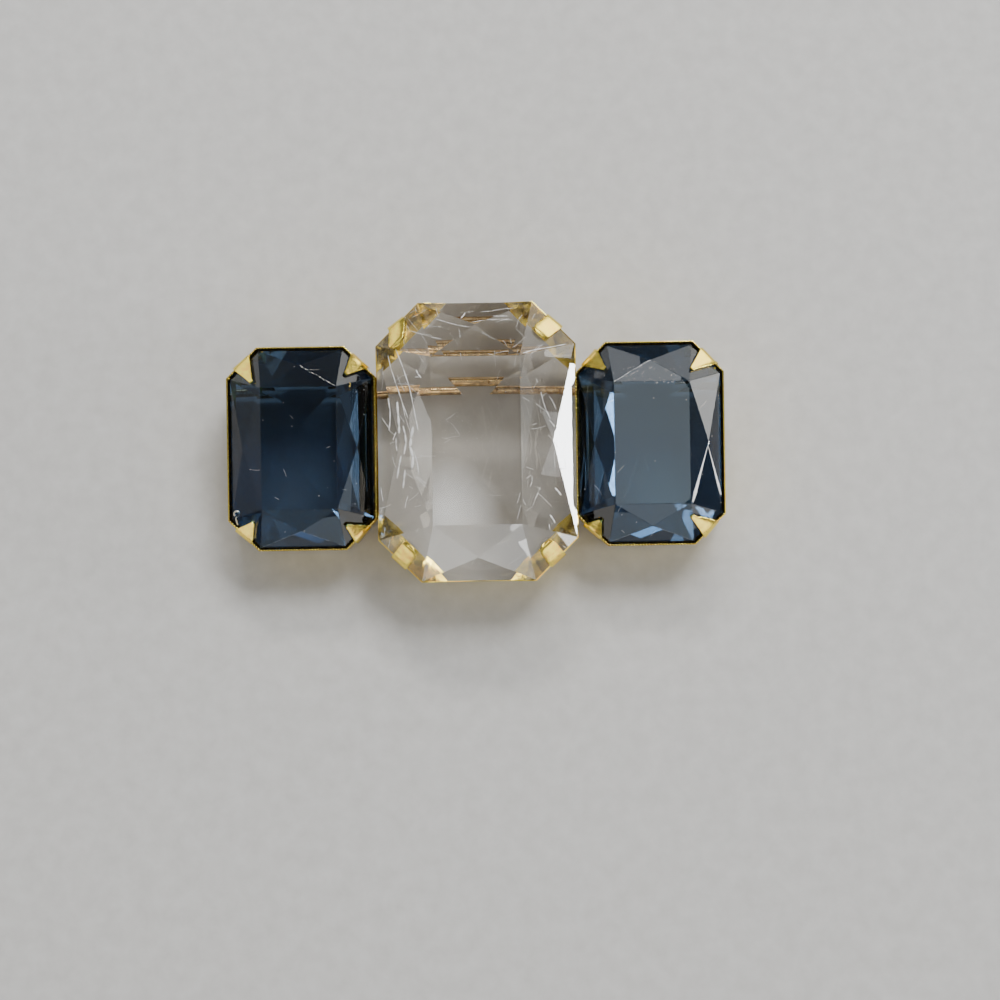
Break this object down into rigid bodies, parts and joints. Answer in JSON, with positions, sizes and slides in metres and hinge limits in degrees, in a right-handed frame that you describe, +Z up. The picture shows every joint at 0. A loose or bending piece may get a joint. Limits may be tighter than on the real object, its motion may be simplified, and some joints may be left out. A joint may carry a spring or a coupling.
{
  "type": "bar pin",
  "caption": "Straight bar pin with a large clear octagon stone between smaller blue ones, in open backed claw settings with a pin across the back.",
  "frame": {"origin": "On the surface that the pin lies on, under the centre of its box.", "axes": "+X along the pin towards its catch, +Y across the pin towards the edge that the wire is nearer to, +Z up, out of the stones' tables but for the lean of 9 degrees with which it lies."},
  "size_m": [0.0454, 0.0258, 0.0121],
  "materials": {
    "gilt_brass": "worn pale gilt over brass",
    "clear_stone": "clear, scratched, faintly warm",
    "blue_glass": "dark steel blue glass",
    "pin_wire": "darkened gilt wire"
  },
  "bodies": {
    "root": {"settings": "gilt_brass", "centre_stone": "clear_stone", "left_stone": "blue_glass", "right_stone": "blue_glass", "pin_stem": "pin_wire"}
  },
  "joints": []
}
